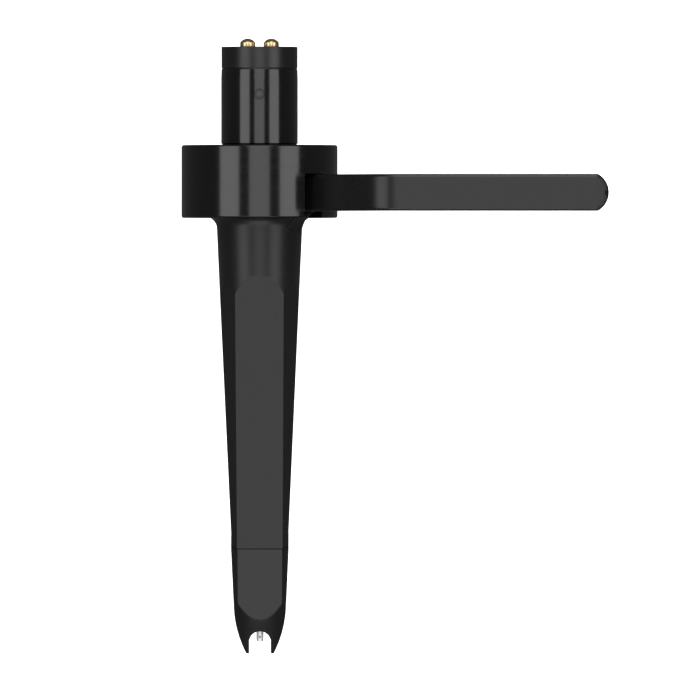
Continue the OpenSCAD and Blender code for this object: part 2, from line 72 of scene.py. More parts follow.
lens = bpy.data.cameras.new("camera")
lens.lens = LENS
lens.sensor_width = SENSOR
lens.clip_end = 100
camera = bpy.data.objects.new("camera", lens)
bpy.context.scene.collection.objects.link(camera)
camera.location = VIEW_MIDDLE + Vector((0, 0, VIEW_WIDTH * LENS / SENSOR))
bpy.context.scene.camera = camera
bpy.context.scene.view_settings.view_transform = "Standard"


def room_light(camera_grey, other_grey):
    """World of one grey for what the camera sees directly, and another that lights the
    object and shows in its gloss."""
    world = bpy.data.worlds.new("room")
    bpy.context.scene.world = world
    world.use_nodes = True
    nodes = world.node_tree.nodes
    links = world.node_tree.links
    nodes.clear()
    ray = nodes.new("ShaderNodeLightPath")
    mix = nodes.new("ShaderNodeMixShader")
    out = nodes.new("ShaderNodeOutputWorld")
    links.new(ray.outputs["Is Camera Ray"], mix.inputs[0])
    for slot, grey in ((1, other_grey), (2, camera_grey)):
        glow = nodes.new("ShaderNodeBackground")
        glow.inputs["Color"].default_value = (grey, grey, grey, 1)
        links.new(glow.outputs[0], mix.inputs[slot])
    links.new(mix.outputs[0], out.inputs["Surface"])


def softbox(name, toward, wide, long, radiance, turn=(0, 1, 0)):
    """Area light that faces the cartridge from a direction, wide by long degrees as seen
    from there. Its long side runs along turn, and its power is pi times its area times
    the radiance."""
    data = bpy.data.lights.new(name, "AREA")
    data.shape = "RECTANGLE"
    data.size = 2 * LIGHT_AWAY * math.tan(math.radians(wide / 2))
    data.size_y = 2 * LIGHT_AWAY * math.tan(math.radians(long / 2))
    data.energy = math.pi * data.size * data.size_y * radiance
    box = bpy.data.objects.new(name, data)
    bpy.context.scene.collection.objects.link(box)
    back = Vector(toward).normalized()
    side = Vector(turn).cross(back).normalized()
    box.matrix_world = Matrix((side, back.cross(side), back)).transposed().to_4x4()
    box.location = LIGHT_MIDDLE + back * LIGHT_AWAY
    box.visible_camera = False


def direction(around, down):
    """Direction that many degrees down from the zenith, and that many round from -Y."""
    around, down = math.radians(around), math.radians(down)
    return (math.sin(around) * math.sin(down), -math.cos(around) * math.sin(down),
            math.cos(down))


LIGHT_AWAY = 1.5
LIGHT_MIDDLE = Vector((0, -20, -5)) * MM
room_light(1.0, 0.1)
softbox("overhead", direction(90, 0), 30, 80, 1.5)
softbox("left_bank", direction(90, -45), 30, 80, 2.0)
softbox("right_bank", direction(90, 45), 30, 80, 2.0)
softbox("front", direction(0, 60), 40, 40, 1.5, (0, 0, 1))
softbox("back", direction(180, 60), 30, 30, 4.0, (1, 0, 0))

FLOOR_SIZE = 8.0
low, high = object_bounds()
floor_z = low[2] - FLOOR_DROP
half = FLOOR_SIZE / 2
floor_mesh = bpy.data.meshes.new("floor")
floor_mesh.from_pydata([(-half, -half, floor_z), (half, -half, floor_z),
                        (half, half, floor_z), (-half, half, floor_z)], [], [(0, 1, 2, 3)])
floor = bpy.data.objects.new("floor", floor_mesh)
bpy.context.scene.collection.objects.link(floor)
floor.visible_glossy = False
paper = bpy.data.materials.new("floor_paper")
paper.use_nodes = True
paper_shader = paper.node_tree.nodes["Principled BSDF"]
paper_shader.inputs["Base Color"].default_value = (0.9, 0.9, 0.9, 1)
paper_shader.inputs["Roughness"].default_value = 0.9
paper_shader.inputs["Emission Color"].default_value = (1, 1, 1, 1)
paper_shader.inputs["Emission Strength"].default_value = 0.8
floor_mesh.materials.append(paper)

# ---- Plug barrel ----
# The thin tube that goes into the tonearm's socket. It is turned from aluminium bar and
# anodised black, with a narrow undercut at the shoulder and a slight cone at its end.

PLUG_R = 4.0
PLUG_LEN = 7.9
CAP_R = 3.97
GROOVE = 0.15
SPIGOT_R = 3.6
SPIGOT_LEN = 3.5
STEM_R = 3.2
STEM_Y = 4.5
WIRE_BORE_R = 2.6


class Wire:
    """A socket of a material's node tree. Sums and products of wires and numbers add
    the Math nodes that work them out."""

    def __init__(self, material, socket):
        self.material = material
        self.socket = socket

    def node(self, kind, settings=None, values=None, out=0):
        """A new node of that kind in this material, as the wire from one output."""
        tree = self.material.node_tree
        node = tree.nodes.new(kind)
        for key, value in (settings or {}).items():
            if key == "stops":
                ramp = node.color_ramp
                while len(ramp.elements) < len(value):
                    ramp.elements.new(1)
                for element, (place, grey) in zip(ramp.elements, value):
                    element.position = place
                    element.color = (grey, grey, grey, 1)
            else:
                setattr(node, key, value)
        for key, value in (values or {}).items():
            if isinstance(value, Wire):
                tree.links.new(value.socket, node.inputs[key])
            else:
                node.inputs[key].default_value = value
        return Wire(self.material, node.outputs[out])

    def math(self, operation, other=0.0):
        return self.node("ShaderNodeMath", {"operation": operation}, {0: self, 1: other})

    def __add__(self, other):
        return self.math("ADD", other)

    __radd__ = __add__

    def __mul__(self, other):
        return self.math("MULTIPLY", other)

    __rmul__ = __mul__

    def __sub__(self, other):
        return self.math("SUBTRACT", other)

    def __rsub__(self, other):
        return self.node("ShaderNodeMath", {"operation": "SUBTRACT"}, {0: other, 1: self})

    def __pow__(self, power):
        return self.math("POWER", power)


def new_material(name, **fixed):
    """A material with those fixed values on its shader, and the wire of the piece's own
    coordinates, which are metres in the cartridge's frame."""
    material = bpy.data.materials.new(name)
    material.use_nodes = True
    shader = material.node_tree.nodes["Principled BSDF"]
    for key, value in fixed.items():
        shader.inputs[key.replace("_", " ")].default_value = value
    where = Wire(material, None).node("ShaderNodeTexCoord", out="Object")
    return material, shader, where


def feed(shader, material, **wires):
    """Leads wires into the shader's sockets of those names."""
    for key, wire in wires.items():
        material.node_tree.links.new(wire.socket, shader.inputs[key.replace("_", " ")])


def tinted(wire, dark, light):
    """Colour between two, by a wire that runs from 0 to 1."""
    return wire.node("ShaderNodeMix", {"data_type": "RGBA"},
                     {"Factor": wire, 6: (*dark, 1), 7: (*light, 1)}, out=2)


def bumped(height, strength, depth):
    """Surface normal of a relief: height runs from 0 to 1 over depth metres."""
    return height.node("ShaderNodeBump", values={
        "Height": height, "Strength": strength, "Distance": depth})


def stretched(where, scale, move=(0, 0, 0)):
    """Coordinates scaled along each axis, about the frame's origin."""
    return where.node("ShaderNodeMapping", values={
        "Vector": where, "Scale": scale, "Location": move})


def noise(where, scale, detail=3.0, roughness=0.5):
    """Cloudy noise from 0 to 1, with scale patches to the metre."""
    return where.node("ShaderNodeTexNoise", values={
        "Vector": where, "Scale": scale, "Detail": detail, "Roughness": roughness})


def turned_black(name, ring_scale=9000, base=0.002, rough=0.145):
    """Black anodised aluminium with fine rings from the lathe: noise that changes only
    along Y tints, roughens and embosses the surface."""
    material, shader, where = new_material(name, IOR=1.6)
    rings = noise(stretched(where, (0.004, 1, 0.004)), ring_scale, 4.0, 0.62)
    wide = noise(stretched(where, (0.02, 1, 0.02)), ring_scale / 12, 2.0)
    cloud = noise(where, 600, 3.0)
    feed(shader, material,
         Base_Color=tinted(rings * 0.7 + cloud * 0.3, (base * 0.6,) * 3,
                           (base * 1.6, base * 1.6, base * 1.66)),
         Roughness=(rings - 0.5) * 0.16 + (wide - 0.5) * 0.08 + rough,
         Normal=bumped(rings + wide * 0.6, 0.1, 2e-6))
    return material


def skin(name, grid, wrap_rows=False, cap_ends=True):
    """Closed mesh over a grid of points, rows by columns, in millimetres. Columns run
    round each row. The rows either join into a ring, or each end is closed with a fan to
    the middle of its row."""
    grid = np.asarray(grid, float) * MM
    rows, cols = grid.shape[:2]
    points = grid.reshape(-1, 3)
    row = np.arange(rows if wrap_rows else rows - 1)[:, None]
    col = np.arange(cols)[None, :]
    here = row * cols + col
    beside = row * cols + (col + 1) % cols
    over = (row + 1) % rows * cols + col
    across = (row + 1) % rows * cols + (col + 1) % cols
    faces = np.stack([here, beside, across, over], -1).reshape(-1, 4).tolist()
    if cap_ends and not wrap_rows:
        for edge, turn in ((0, 1), (rows - 1, -1)):
            middle = len(points)
            points = np.vstack([points, grid[edge].mean(0)])
            ring = edge * cols + np.arange(cols)
            faces += [[middle, *pair[::turn]] for pair in zip(np.roll(ring, -1), ring)]
    mesh = bpy.data.meshes.new(name)
    mesh.from_pydata(points.tolist(), [], faces)
    return settle(mesh)


def settle(mesh):
    """Merges doubled points, drops faces without area, and turns all faces outwards."""
    work = bmesh.new()
    work.from_mesh(mesh)
    bmesh.ops.remove_doubles(work, verts=work.verts, dist=1e-8)
    bmesh.ops.dissolve_degenerate(work, edges=work.edges, dist=1e-8)
    bmesh.ops.recalc_face_normals(work, faces=work.faces)
    work.to_mesh(mesh)
    work.free()
    return mesh


def piece(name, mesh, material, body, slot, *nodes):
    """A finished piece: smooth, with normals that keep its flats flat, on its body, and
    in place of its CAD nodes."""
    made = bpy.data.objects.new(name, mesh)
    bpy.context.scene.collection.objects.link(made)
    mesh.materials.clear()
    mesh.materials.append(material)
    mesh.shade_smooth()
    mesh.set_sharp_from_angle(angle=math.radians(27))
    flats = made.modifiers.new("flat_faces", "WEIGHTED_NORMAL")
    flats.keep_sharp = True
    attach(made, body)
    if nodes:
        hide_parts(*nodes)
    return made


def rounded(corners, cut, steps=4):
    """Closed outline with softened corners. Each corner gives way to a quadratic curve
    that starts and ends the length cut away from it, or less than half of its side."""
    corners = np.asarray(corners, float)
    cut = np.broadcast_to(cut, corners.shape[:-1])
    ends = []
    for shift in (1, -1):
        side = np.roll(corners, shift, -2) - corners
        length = np.linalg.norm(side, axis=-1)
        reach = np.minimum(cut, 0.45 * length) / np.maximum(length, 1e-9)
        ends.append(corners + side * reach[..., None])
    s = np.linspace(0, 1, steps + 1)[:, None]
    before, after, mid = (e[..., None, :] for e in (*ends, corners))
    curve = (1 - s) ** 2 * before + 2 * s * (1 - s) * mid + s ** 2 * after
    return curve.reshape(*corners.shape[:-2], -1, corners.shape[-1])


def turned(outline, cut=0.05, steps=5, around=192, axis="y", middle=(0, 0, 0)):
    """Turned piece: a closed outline of (radius, along) corners, softened, and carried
    round the axis. Each point goes to radius times the cosine and sine of the angle."""
    outline = rounded(outline, cut, steps)
    angle = np.linspace(0, 2 * np.pi, around, endpoint=False)
    r, along = outline[:, None, 0], outline[:, None, 1] + 0 * angle
    c, s = r * np.cos(angle), r * np.sin(angle)
    grid = np.stack((c, along, s) if axis == "y" else (c, s, along), -1)
    return grid + np.array(middle)


def carved(mesh, *cutters, operation="DIFFERENCE"):
    """The mesh after exact Boolean cuts with other closed meshes."""
    work = bpy.data.objects.new("work", mesh)
    bpy.context.scene.collection.objects.link(work)
    helpers = [work]
    for cutter in cutters:
        tool = bpy.data.objects.new("cutter", cutter)
        bpy.context.scene.collection.objects.link(tool)
        cut = work.modifiers.new("cut", "BOOLEAN")
        cut.operation = operation
        cut.object = tool
        cut.solver = "EXACT"
        helpers.append(tool)
    bpy.context.view_layer.update()
    shaped = work.evaluated_get(bpy.context.evaluated_depsgraph_get())
    result = bpy.data.meshes.new_from_object(shaped)
    result.name = mesh.name
    for helper in helpers:
        bpy.data.objects.remove(helper)
    return settle(result)


black_turned = turned_black("turned_black")
barrel_outline = [
    (WIRE_BORE_R, -SPIGOT_LEN), (SPIGOT_R, -SPIGOT_LEN), (SPIGOT_R, 0),
    (PLUG_R - GROOVE / 2, 0), (PLUG_R - GROOVE, GROOVE / 2), (PLUG_R, GROOVE),
    (PLUG_R, PLUG_LEN - 0.95), (CAP_R, PLUG_LEN), (STEM_R, PLUG_LEN),
    (STEM_R, STEM_Y), (WIRE_BORE_R, STEM_Y)]
LOCATOR_R = 0.55
LOCATOR_Y = 5.28
locator_hole = turned([(0, 0), (LOCATOR_R, 0), (LOCATOR_R, 9), (0, 9)], 0, 1, 64, "z",
                      (0, LOCATOR_Y, 0))
piece("barrel", carved(skin("barrel", turned(barrel_outline), wrap_rows=True),
                       skin("locator_hole", locator_hole)),
      black_turned, "root", "turned_black", "plug_barrel")

# ---- Contact insulator ----
# The moulded plastic end of the plug. Its stem is pressed into the barrel, its cap
# closes the barrel with a fine dark groove between them, and the contacts go through it.

CAP_LEN = 2.2


def moulded(name, base, rough, grain=5000, ior=1.5):
    """Moulded plastic or rubber: one colour with a faint mottle, under a fine grain."""
    material, shader, where = new_material(name, IOR=ior)
    cloud = noise(where, grain / 8, 3.0)
    grains = noise(where, grain, 2.0)
    feed(shader, material,
         Base_Color=tinted(cloud, tuple(c * 0.85 for c in base),
                           tuple(c * 1.15 for c in base)),
         Roughness=(cloud - 0.5) * 0.12 + rough,
         Normal=bumped(grains, 0.2, 3e-6))
    return material


black_plastic = moulded("black_plastic", (0.004, 0.004, 0.004), 0.32, ior=1.52)
cap_y = PLUG_LEN + GROOVE
insulator_outline = [
    (0, STEM_Y), (STEM_R, STEM_Y), (STEM_R, PLUG_LEN), (CAP_R - 0.01, PLUG_LEN),
    (CAP_R - 0.09, cap_y - GROOVE / 2), (CAP_R, cap_y), (CAP_R, cap_y + CAP_LEN),
    (0, cap_y + CAP_LEN)]
piece("insulator", skin("insulator", turned(insulator_outline)[2:-2], cap_ends=True),
      black_plastic, "root", "black_plastic", "contact_insulator")

# ---- Contact pins ----
# Four domed pins that touch the tonearm's spring contacts. Each is turned from brass
# and gold plated, and pushed through the insulator, with a tail for its lead.

CONTACT_PITCH = 2.47
CONTACT_R = 0.79
CONTACT_OUT = 0.85
TAIL_Y = 4.3


def dome(radius, height, base_y, steps=12):
    """Quarter outline of a spherical cap: the sphere's radius is half of radius squared
    plus height squared, over height."""
    ball = (radius ** 2 + height ** 2) / (2 * height)
    r = radius * np.cos(np.linspace(0, np.pi / 2, steps))
    return list(zip(r, base_y + height - ball + np.sqrt(ball ** 2 - r ** 2)))


def metal(name, base, rough, scratch=9000, darker=0.75, metallic=1.0):
    """Bare or plated metal, a little uneven in tone and gloss."""
    material, shader, where = new_material(name, Metallic=metallic)
    cloud = noise(where, scratch / 10, 3.0)
    fine = noise(where, scratch, 2.0)
    feed(shader, material,
         Base_Color=tinted(cloud, tuple(c * darker for c in base), base),
         Roughness=(cloud - 0.5) * 0.15 + rough,
         Normal=bumped(fine, 0.12, 2e-6))
    return material


gold = metal("gold_contact", (0.97, 0.72, 0.38), 0.22)
cap_top = cap_y + CAP_LEN
pin_outline = [(0, TAIL_Y), (0.35, TAIL_Y), (0.35, STEM_Y), (0.5, STEM_Y), (0.5, cap_top),
               (CONTACT_R, cap_top), *dome(CONTACT_R, CONTACT_OUT / 2,
                                           cap_top + CONTACT_OUT / 2)]
QUARTERS = {"left_signal": (1, 1), "left_ground": (1, -1),
            "right_signal": (-1, 1), "right_ground": (-1, -1)}
for line, (x_side, z_side) in QUARTERS.items():
    at = (x_side * CONTACT_PITCH / 2, 0, z_side * CONTACT_PITCH / 2)
    rings = turned(pin_outline, 0.04, around=64, middle=at)[2:-2]
    piece("contact_" + line, skin("contact_" + line, rings), gold, "root",
          "gold_contact", "contact_pin_" + line)

# ---- Locating pin ----
# Short steel pin that finds the slot of the tonearm's socket. It is blackened, and
# pressed into a hole in the top of the barrel.

LOCATOR_TOP = 4.85
NECKED_R = 0.37
locator_outline = [(0, STEM_R), (LOCATOR_R, STEM_R), (LOCATOR_R, STEM_R + 0.15),
                   (NECKED_R, STEM_R + 0.15), (NECKED_R, LOCATOR_TOP), (0, LOCATOR_TOP)]
piece("locator", skin("locator", turned(locator_outline, 0.03, around=96, axis="z",
                                        middle=(0, LOCATOR_Y, 0))[2:-2]),
      black_turned, "root", "turned_black", "locating_pin")

# ---- Collar ----
# Ring that stops against the tonearm and clamps the plug and the body. It is turned and
# anodised like the barrel, then milled with a notch and a pocket for the finger lift.

COLLAR_R = 8.15
COLLAR_LEN = 7.61
COLLAR_EDGE = 0.15
LIFT_Y = -5.0
LIFT_W = 3.84
NOTCH_X = (4.7, 6.5)
NOTCH_Y = -3.0
NOTCH_FLOOR = (1.5, -0.3)
FOOT_X = (3.2, 5.2)
FOOT_Z = (2.3, 4.4)


def box_grid(low, high, cut=0.0, turn=None):
    """Closed rows of an upright box with softened upright edges, and softened rims when
    it has a cut. turn moves the points on, if given."""
    x, y, z = (np.array(pair, float) for pair in zip(low, high))
    plan = np.array([(x[0], y[0]), (x[1], y[0]), (x[1], y[1]), (x[0], y[1])])
    middle = plan.mean(0)
    rows = []
    side = rounded([(0, z[0]), (1, z[0]), (1, z[1]), (0, z[1])], (0, cut, cut, 0), 4)
    half = (plan.max(0) - plan.min(0)) / 2
    edge = rounded(plan, cut, 4) if cut else plan
    for reach, height in side:
        inset = (1 - reach) if reach > 0.5 else 0.999
        scale = (half - inset) / half if reach > 0.5 else np.array((0.001, 0.001))
        flat = middle + (edge - middle) * np.maximum(scale, 0.001)
        rows.append(np.column_stack((flat, np.full(len(flat), height))))
    grid = np.array(rows)
    return grid if turn is None else turn(grid)


collar_outline = [
    (SPIGOT_R, -COLLAR_LEN), (COLLAR_R - COLLAR_EDGE, -COLLAR_LEN),
    (COLLAR_R, COLLAR_EDGE - COLLAR_LEN), (COLLAR_R, -COLLAR_EDGE),
    (COLLAR_R - COLLAR_EDGE, 0), (PLUG_R + GROOVE, 0), (PLUG_R + GROOVE, -GROOVE),
    (SPIGOT_R, -GROOVE)]
collar_mesh = skin("collar", turned(collar_outline, 0.04, around=288), wrap_rows=True)
notch_plan = np.array([(NOTCH_X[0], NOTCH_FLOOR[0]), (NOTCH_X[1], NOTCH_FLOOR[1]),
                       (NOTCH_X[1], 20), (NOTCH_X[0], 20)])
notch = skin("notch", np.stack([np.column_stack((
    notch_plan[:, 0], np.full(4, y), notch_plan[:, 1])) for y in (-20.0, NOTCH_Y)]))
pocket = skin("pocket", box_grid(
    (FOOT_X[0], LIFT_Y - LIFT_W / 2, FOOT_Z[0]),
    (NOTCH_X[0] + 0.5, LIFT_Y + LIFT_W / 2, FOOT_Z[1])))
screw_hole = skin("screw_hole", turned([(0, -9), (0.6, -9), (0.6, -4), (0, -4)], 0,
                                       around=48, middle=(4.0, 0, 3.35)))
grub_hole = skin("grub_hole", turned([(0, -12), (1.0, -12), (1.0, 0), (0, 0)], 0,
                                     around=64, axis="z", middle=(0, -5.6, 0)))
piece("collar", carved(collar_mesh, notch, pocket, screw_hole, grub_hole), black_turned,
      "root", "turned_black", "collar_ring")

# ---- Collar grub screw ----
# Socket-head screw in the collar's underside. Blackened steel, threaded into the collar,
# with a cup point that clamps the body's spigot.

GRUB_Y = -5.6
GRUB_TAIL = 7.6
black_steel = metal("black_steel", (0.07, 0.07, 0.075), 0.38)
grub_outline = [(0, -GRUB_TAIL), (1.0, -GRUB_TAIL), (1.0, -SPIGOT_R), (0, -SPIGOT_R)]
hexagon = turned([(0, -9), (0.5, -9), (0.5, 1 - GRUB_TAIL), (0, 1 - GRUB_TAIL)], 0,
                 around=6, axis="z", middle=(0, GRUB_Y, 0))
piece("grub_screw", carved(
    skin("grub_screw", turned(grub_outline, 0.08, around=64, axis="z",
                              middle=(0, GRUB_Y, 0))[4:-4]),
    skin("hexagon", hexagon)), black_steel, "root", "black_steel", "collar_grub_screw")

# ---- Body shell ----
# The long hollow body, one piece of die-cast aluminium with a satin black finish. A
# round neck with a fillet at the collar turns into a bar with a sloping flat top, steep
# side chamfers and a chamfered belly. Its spigot is clamped in the collar.

TOP_SLOPE = math.tan(math.radians(26))
BELLY_SLOPE = math.tan(math.radians(20.9))
CHAMFER = math.tan(math.radians(57))
CHAMFER_FACING = math.radians(90 - 57)
FLAT_Y = -13.54
FLAT_TAPER = 0.0058
BELLY_HW = 1.8
BAND_Y = -40.2
SPLIT_Y = -42.2
FILLET_R = 1.28
FILLET_H = 1.15
WALL = 0.7
CAVITY_Y = -13.0
UNIT_TILT = math.radians(22)
JOINT_GAP = 0.05


def half_w(y):
    """Half width: 4.4 at Y -9.9, and 0.0455 less for each millimetre further out."""
    return 4.4 + 0.0455 * (y + 9.9)


def top_z(y):
    """Level of the top flat: a line that falls by the tangent of 26 degrees."""
    return half_w(FLAT_Y) + TOP_SLOPE * (y - FLAT_Y)


def flat_edge(y):
    return 2.53 + FLAT_TAPER * (y + 16.2)


def belly_z(y):
    """Level of the belly: a line that falls by the tangent of 20.9 degrees."""
    return -3.9 + BELLY_SLOPE * (y + 9.5)


section_h = ((top_z(SPLIT_Y) - belly_z(SPLIT_Y))
             / (math.cos(UNIT_TILT) + BELLY_SLOPE * math.sin(UNIT_TILT)))
axis_y = SPLIT_Y + math.sin(UNIT_TILT) * section_h / 2
axis_z = top_z(SPLIT_Y) - math.cos(UNIT_TILT) * section_h / 2


def along_unit(points):
    """How far points lie along the stylus unit's axis, past the joint."""
    return ((axis_y - points[..., 1]) * math.cos(UNIT_TILT)
            + (axis_z - points[..., 2]) * math.sin(UNIT_TILT))


def neck_r(y):
    """Radius of the cone, or of the concave fillet by Pythagoras, where that is more."""
    rise = max(y + COLLAR_LEN + FILLET_H, 0)
    fillet = half_w(-COLLAR_LEN - FILLET_H) + FILLET_R - math.sqrt(
        max(FILLET_R ** 2 - rise ** 2, 0))
    return max(half_w(y), fillet if rise else 0)


def body_rows(ys, inset=0.0, edge=0.1):
    """Outline of the body across each Y, as a grid. The cone's circle is cut from above
    by the flat and by the chamfer lines. Below the axis, upright walls run down to the
    belly's 45 degree chamfers, and no point may lie inside the circle. Every plane is
    moved in by the inset. Corners are softened by edge."""
    rows = []
    for y in ys:
        R = half_w(y) - inset if inset else neck_r(y)
        wall = half_w(max(y, BAND_Y)) - inset if inset else max(half_w(max(y, BAND_Y)), R)
        zt = min(top_z(y) - inset * math.hypot(1, TOP_SLOPE), R)
        b = (top_z(y) + CHAMFER * flat_edge(y)
             - inset * math.hypot(1, CHAMFER, TOP_SLOPE + CHAMFER * FLAT_TAPER))
        e1 = min((b - zt) / CHAMFER,
                 wall if zt < 0 else math.sqrt(max(R * R - zt * zt, 0)))
        a1, a2, a3 = math.atan2(zt, e1), CHAMFER_FACING, CHAMFER_FACING
        half_chord = math.sqrt(max(R * R - b * b / (1 + CHAMFER ** 2), 0))
        if half_chord:
            spread = math.atan2(half_chord, b / math.hypot(1, CHAMFER))
            a2, a3 = min(a1, CHAMFER_FACING + spread), CHAMFER_FACING - spread
        on_circle = a2 < a1 - 1e-6
        upper = [(R * math.cos(a), R * math.sin(a)) if on_circle else (e1, zt)
                 for a in np.linspace(a1, a2, 8)[1:]]
        if b < CHAMFER * R:
            arc = [(wall, b - CHAMFER * wall)] * 15
        else:
            arc = [(R * math.cos(a), R * math.sin(a)) for a in np.linspace(a3, 0, 15)]
        zb = belly_z(y) + inset * math.hypot(1, BELLY_SLOPE)
        c = belly_z(y) - BELLY_HW + inset * math.hypot(1, 1, BELLY_SLOPE)
        e3, e4 = (wall, min(wall + c, arc[-1][1])), (zb - c, zb)
        mix = np.linspace(0, 1, 9)[1:-1, None]
        side = np.vstack(([(0, zt)], [(e1, zt)], upper, arc, [e3],
                          np.array(e3) * (1 - mix) + np.array(e4) * mix, [e4],
                          np.array(e4) * (1 - mix) + np.array((0, zb)) * mix, [(0, zb)]))
        cuts = np.zeros(len(side))
        cuts[[8, 9, 24, 32]] = edge
        low = np.arange(len(side)) >= 24
        short = np.hypot(side[:, 0], side[:, 1])
        grow = np.where(low & (short < R), R / np.maximum(short, 1e-6), 1)
        side = side * grow[:, None]
        ring = np.vstack((side, side[-2:0:-1] * (-1, 1)))
        ring_cut = np.concatenate((cuts, cuts[-2:0:-1]))
        outline = rounded(ring, ring_cut, 4)
        rows.append(np.column_stack((outline[:, 0], np.full(len(outline), y),
                                     outline[:, 1])))
    return np.array(rows)


def to_plane(grid, limit):
    """Rows up to the joint's plane. Each column is stretched along its own line, so that
    its last point lies at that distance along the unit's axis."""
    s = along_unit(grid)
    last, before = grid[-1], grid[-2]
    pace = (s[-1] - s[-2])[:, None]
    reach = last + (last - before) * (limit - s[-1])[:, None] / pace
    return np.concatenate((grid, last + (reach - last) * np.linspace(0, 1, 7)[1:, None, None]))


def ring_at(radius, y, like):
    """Circle about the plug's axis, whose points stand at the same angles as a row's."""
    a = np.arctan2(like[:, 0], like[:, 2])
    return np.column_stack((radius * np.sin(a), np.full(len(a), y), radius * np.cos(a)))


outer_y = np.concatenate((
    np.linspace(-COLLAR_LEN, -COLLAR_LEN - FILLET_H, 22),
    np.linspace(-9.0, FLAT_Y, 12), FLAT_Y - 1.7 * np.linspace(0, 1, 22)[1:] ** 2,
    np.arange(-15.3, -18.2, -0.08), np.arange(-18.5, -39.3, -1.0), [-39.3]))
outer = to_plane(body_rows(outer_y), -JOINT_GAP)
inner = to_plane(body_rows(np.concatenate(([CAVITY_Y], np.arange(-14, -38.3, -1.0), [-38.3])),
                           WALL, 0.3), -JOINT_GAP)
spigot_y = -SPIGOT_LEN - GROOVE
tube = [ring_at(r, y, row) for r, y, row in (
    (WIRE_BORE_R, CAVITY_Y, inner[0]), (WIRE_BORE_R, spigot_y, inner[0]),
    (SPIGOT_R, spigot_y, outer[0]), (SPIGOT_R, -COLLAR_LEN, outer[0]))]
shell_mesh = skin("body", np.concatenate((outer, inner[::-1], np.array(tube))),
                  wrap_rows=True)

COVER_Y = -27.0
COVER_HALF = (1.6, 7.5)
COVER_GAP = 0.02
LEDGE = 1.6


def on_belly(grid):
    """Turns and moves points from the cover's own frame, whose Z points in, to the
    belly's slope."""
    tilt = math.atan(BELLY_SLOPE)
    x, y, z = grid[..., 0], grid[..., 1], grid[..., 2]
    return np.stack((x, COVER_Y + y * math.cos(tilt) - z * math.sin(tilt),
                     belly_z(COVER_Y) + y * math.sin(tilt) + z * math.cos(tilt)), -1)


open_x, open_y = COVER_HALF[0] + COVER_GAP, COVER_HALF[1] + COVER_GAP
seat = skin("seat", box_grid((-open_x, -open_y, -1), (open_x, open_y, WALL * 0.6),
                             turn=on_belly))
window = skin("window", box_grid((-open_x + 0.3, LEDGE - open_y, -1),
                                 (open_x - 0.3, open_y - LEDGE, 2), turn=on_belly))


def rib_rows():
    """Rib under the finger lift. Across each Y it runs from inside the neck, up to a
    ridge, and down to an edge whose plan is an arc of radius 2.9 round X 7.3, Y -9.35.
    The ridge's own plan is a quadratic in Y, and it lifts off the neck bit by bit."""
    rows = []
    for y in np.linspace(-9.15, -6.9, 31):
        out_x = 7.3 - math.sqrt(2.9 ** 2 - (y + 9.35) ** 2)
        along = y + 9.15
        ridge_x = 2.7 + 0.42 * along + 0.18 * along ** 2
        neck = neck_r(min(y, -COLLAR_LEN))
        ridge_z = math.sqrt(neck ** 2 - ridge_x ** 2) + 0.16 * along
        out_z = max(1.65, ridge_z - 1.15 * (out_x - ridge_x))
        corners = [(2.4, 1.5), (2.4, ridge_z - 0.8), (ridge_x - 0.06, ridge_z - 0.12),
                   (ridge_x, ridge_z), (out_x, out_z), (out_x, 1.5)]
        outline = rounded(corners, (0, 0.1, 0.06, 0.1, 0.4, 0.1), 5)
        rows.append(np.column_stack((outline[:, 0], np.full(len(outline), y),
                                     outline[:, 1])))
    return np.array(rows)


def joined(name, *meshes):
    """One mesh of several closed ones."""
    work = bmesh.new()
    for mesh in meshes:
        work.from_mesh(mesh)
    result = bpy.data.meshes.new(name)
    work.to_mesh(result)
    work.free()
    return result


def satin_black(name="satin_black", base=0.005, rough=0.36):
    """Satin black lacquer: an even dark grey, with a very fine pebble and faint clouds in
    its gloss."""
    material, shader, where = new_material(name, IOR=1.46)
    cloud = noise(where, 260, 3.0)
    pebble = noise(where, 7000, 2.0)
    feed(shader, material,
         Base_Color=tinted(cloud, (base * 0.9,) * 3, (base * 1.08,) * 3),
         Roughness=(cloud - 0.5) * 0.06 + rough,
         Normal=bumped(pebble, 0.1, 2e-6))
    return material


satin = satin_black()
piece("body", joined("body", carved(shell_mesh, seat, window), skin("rib", rib_rows())),
      satin, "root", "satin_black", "body_shell")

# ---- Belly cover ----
# Plate that closes the opening in the belly, set flush. It is cut from thin aluminium
# sheet, finished like the body, and countersunk for two screws.

SCREW_AT = 6.7
SCREW_R = 0.5
HEAD_R = 0.9


def stud(outline, x, y, turn, around=48):
    """Turned piece about a Z line at (x, y) of a frame of its own."""
    return turn(turned(outline, 0.02, around=around, axis="z", middle=(x, y, 0)))


cover_mesh = skin("cover", box_grid((-COVER_HALF[0], -COVER_HALF[1], 0),
                                    (*COVER_HALF, WALL * 0.55), 0.06, on_belly))
sinks = [skin("sink", stud([(0, -0.4), (HEAD_R + 0.4, -0.4), (SCREW_R, HEAD_R - SCREW_R),
                            (SCREW_R, 1.5), (0, 1.5)], 0, end * SCREW_AT, on_belly))
         for end in (-1, 1)]
piece("cover", carved(cover_mesh, *sinks), satin, "root", "satin_black", "belly_cover")

# ---- Belly cover screws ----
# Two slotted countersunk screws, blackened steel, through the cover into bosses of the
# body.

